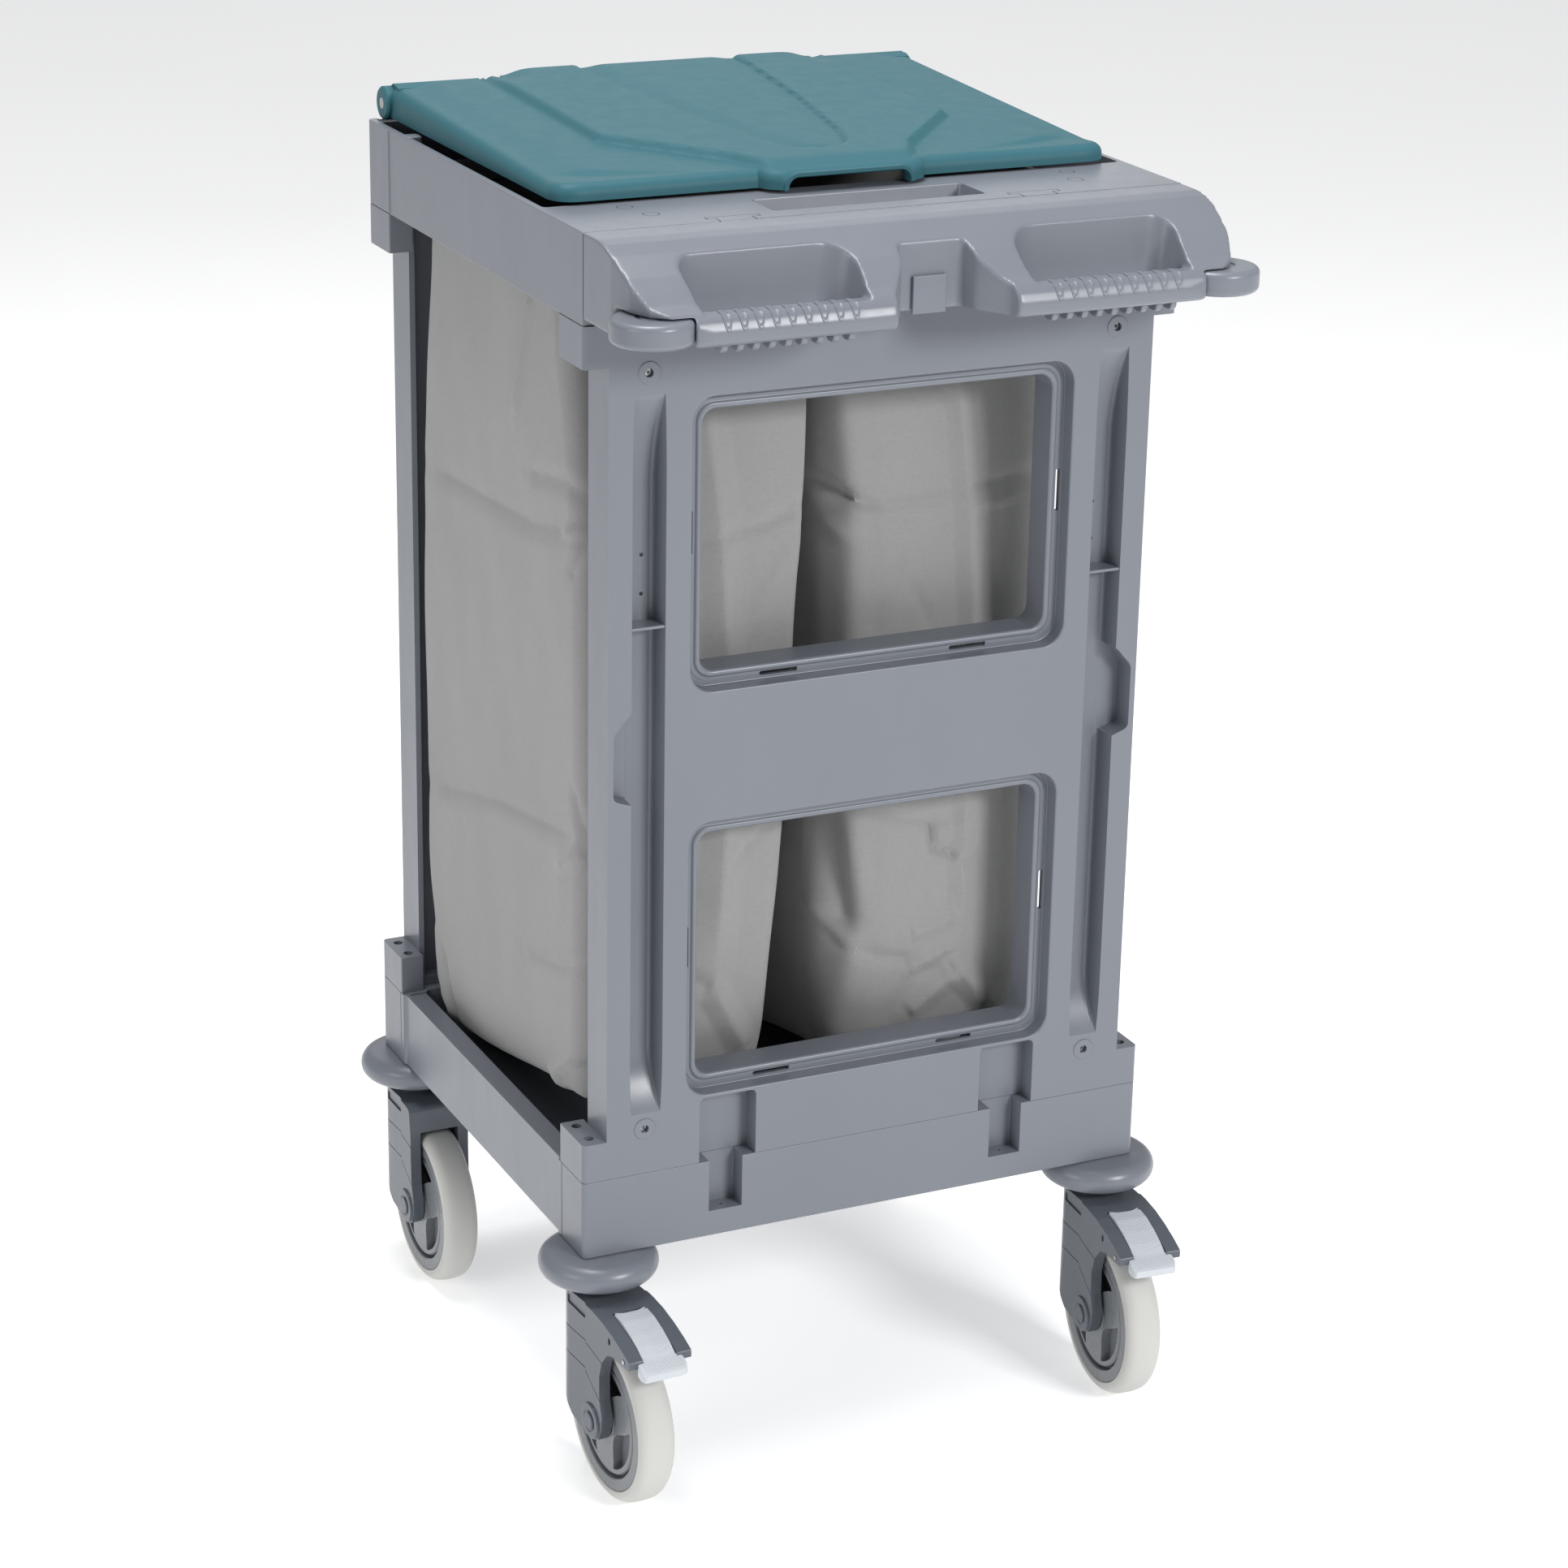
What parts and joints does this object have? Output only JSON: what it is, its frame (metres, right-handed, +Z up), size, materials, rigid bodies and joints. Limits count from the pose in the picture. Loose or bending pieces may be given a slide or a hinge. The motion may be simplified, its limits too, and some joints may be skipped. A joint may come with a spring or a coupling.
{
  "type": "laundry and waste collecting cart",
  "caption": "Tall plastic collecting cart on swivel casters, with a hinged lid, a push handle with two grips, window panels and hanging fabric bags.",
  "frame": {"origin": "on the floor, under the middle of the overall footprint", "axes": "+Z up, the handle side faces -Y, +X to the right of a person who stands at the handle"},
  "size_m": [0.582, 0.6374, 1.1189],
  "materials": {
    "panel_plastic": "grey-blue moulded plastic, satin",
    "lid_plastic": "teal moulded plastic, satin",
    "caster_plastic": "dark grey glass-filled plastic, glossy",
    "pedal_plastic": "pale grey plastic",
    "tread_rubber": "light grey non-marking rubber",
    "bag_cloth": "grey coated plain-weave cloth",
    "steel": "zinc-plated steel"
  },
  "bodies": {
    "cart": {"base_platform": "panel_plastic", "front_panel": "panel_plastic", "rear_panel": "panel_plastic", "top_tray": "panel_plastic", "handle_moulding": "panel_plastic", "handle_clip": "panel_plastic", "roller_pin_left": "steel", "roller_pin_right": "steel", "lid_pin_left": "steel", "lid_pin_right": "steel", "bag_left": "bag_cloth", "bag_right": "bag_cloth", "bag_frame_left": "caster_plastic", "bag_frame_right": "caster_plastic", "panel_screw_front_left_lower": "steel", "panel_screw_front_left_upper": "steel", "panel_screw_front_right_lower": "steel", "panel_screw_front_right_upper": "steel", "panel_screw_rear_left_lower": "steel", "panel_screw_rear_left_upper": "steel", "panel_screw_rear_right_lower": "steel", "panel_screw_rear_right_upper": "steel", "caster_stem_front_left": "steel", "caster_stem_front_right": "steel", "caster_stem_rear_left": "steel", "caster_stem_rear_right": "steel"},
    "lid": {"lid": "lid_plastic"},
    "roller_left": {"bumper_roller_left": "panel_plastic"},
    "roller_right": {"bumper_roller_right": "panel_plastic"},
    "disc_front_left": {"bumper_disc_front_left": "panel_plastic"},
    "swivel_front_left": {"caster_fork_front_left": "caster_plastic", "wheel_axle_front_left": "caster_plastic", "pedal_pin_front_left": "steel"},
    "wheel_front_left": {"wheel_hub_front_left": "caster_plastic", "tyre_front_left": "tread_rubber"},
    "pedal_front_left": {"brake_pedal_front_left": "pedal_plastic"},
    "disc_front_right": {"bumper_disc_front_right": "panel_plastic"},
    "swivel_front_right": {"caster_fork_front_right": "caster_plastic", "wheel_axle_front_right": "caster_plastic", "pedal_pin_front_right": "steel"},
    "wheel_front_right": {"wheel_hub_front_right": "caster_plastic", "tyre_front_right": "tread_rubber"},
    "pedal_front_right": {"brake_pedal_front_right": "pedal_plastic"},
    "disc_rear_left": {"bumper_disc_rear_left": "panel_plastic"},
    "swivel_rear_left": {"caster_fork_rear_left": "caster_plastic", "wheel_axle_rear_left": "caster_plastic"},
    "wheel_rear_left": {"wheel_hub_rear_left": "caster_plastic", "tyre_rear_left": "tread_rubber"},
    "disc_rear_right": {"bumper_disc_rear_right": "panel_plastic"},
    "swivel_rear_right": {"caster_fork_rear_right": "caster_plastic", "wheel_axle_rear_right": "caster_plastic"},
    "wheel_rear_right": {"wheel_hub_rear_right": "caster_plastic", "tyre_rear_right": "tread_rubber"}
  },
  "joints": [
    {"name": "lid_hinge", "type": "hinge", "parent": "cart", "child": "lid", "pos_m": [0, 0.28225, 1.095], "axis": [-1, 0, 0], "range_deg": [0, 100]},
    {"name": "roller_left_spin", "type": "hinge", "parent": "cart", "child": "roller_left", "pos_m": [-0.245, -0.28575, 1.025], "axis": [0, 0, 1], "continuous": true},
    {"name": "roller_right_spin", "type": "hinge", "parent": "cart", "child": "roller_right", "pos_m": [0.245, -0.28575, 1.025], "axis": [0, 0, 1], "continuous": true},
    {"name": "disc_front_left_spin", "type": "hinge", "parent": "cart", "child": "disc_front_left", "pos_m": [-0.24, -0.17325, 0.1992], "axis": [0, 0, 1], "continuous": true},
    {"name": "caster_front_left_swivel", "type": "hinge", "parent": "cart", "child": "swivel_front_left", "pos_m": [-0.24, -0.17325, 0.18], "axis": [0, 0, 1], "continuous": true},
    {"name": "wheel_front_left_spin", "type": "hinge", "parent": "swivel_front_left", "child": "wheel_front_left", "pos_m": [-0.23773, -0.21869, 0.075], "axis": [0.9988, 0.05, 0], "continuous": true},
    {"name": "brake_pedal_front_left_press", "type": "hinge", "parent": "swivel_front_left", "child": "pedal_front_left", "pos_m": [-0.23465, -0.28012, 0.1595], "axis": [0.9988, 0.05, 0], "range_deg": [0, 8]},
    {"name": "disc_front_right_spin", "type": "hinge", "parent": "cart", "child": "disc_front_right", "pos_m": [0.24, -0.17325, 0.1992], "axis": [0, 0, 1], "continuous": true},
    {"name": "caster_front_right_swivel", "type": "hinge", "parent": "cart", "child": "swivel_front_right", "pos_m": [0.24, -0.17325, 0.18], "axis": [0, 0, 1], "continuous": true},
    {"name": "wheel_front_right_spin", "type": "hinge", "parent": "swivel_front_right", "child": "wheel_front_right", "pos_m": [0.23605, -0.21858, 0.075], "axis": [0.9962, -0.0869, 0], "continuous": true},
    {"name": "brake_pedal_front_right_press", "type": "hinge", "parent": "swivel_front_right", "child": "pedal_front_right", "pos_m": [0.2307, -0.27985, 0.1595], "axis": [0.9962, -0.0869, 0], "range_deg": [0, 8]},
    {"name": "disc_rear_left_spin", "type": "hinge", "parent": "cart", "child": "disc_rear_left", "pos_m": [-0.24, 0.26775, 0.1992], "axis": [0, 0, 1], "continuous": true},
    {"name": "caster_rear_left_swivel", "type": "hinge", "parent": "cart", "child": "swivel_rear_left", "pos_m": [-0.24, 0.26775, 0.18], "axis": [0, 0, 1], "continuous": true},
    {"name": "wheel_rear_left_spin", "type": "hinge", "parent": "swivel_rear_left", "child": "wheel_rear_left", "pos_m": [-0.23968, 0.22225, 0.075], "axis": [1, 0.007, 0], "continuous": true},
    {"name": "disc_rear_right_spin", "type": "hinge", "parent": "cart", "child": "disc_rear_right", "pos_m": [0.24, 0.26775, 0.1992], "axis": [0, 0, 1], "continuous": true},
    {"name": "caster_rear_right_swivel", "type": "hinge", "parent": "cart", "child": "swivel_rear_right", "pos_m": [0.24, 0.26775, 0.18], "axis": [0, 0, 1], "continuous": true},
    {"name": "wheel_rear_right_spin", "type": "hinge", "parent": "swivel_rear_right", "child": "wheel_rear_right", "pos_m": [0.24032, 0.22225, 0.075], "axis": [1, 0.007, 0], "continuous": true}
  ]
}
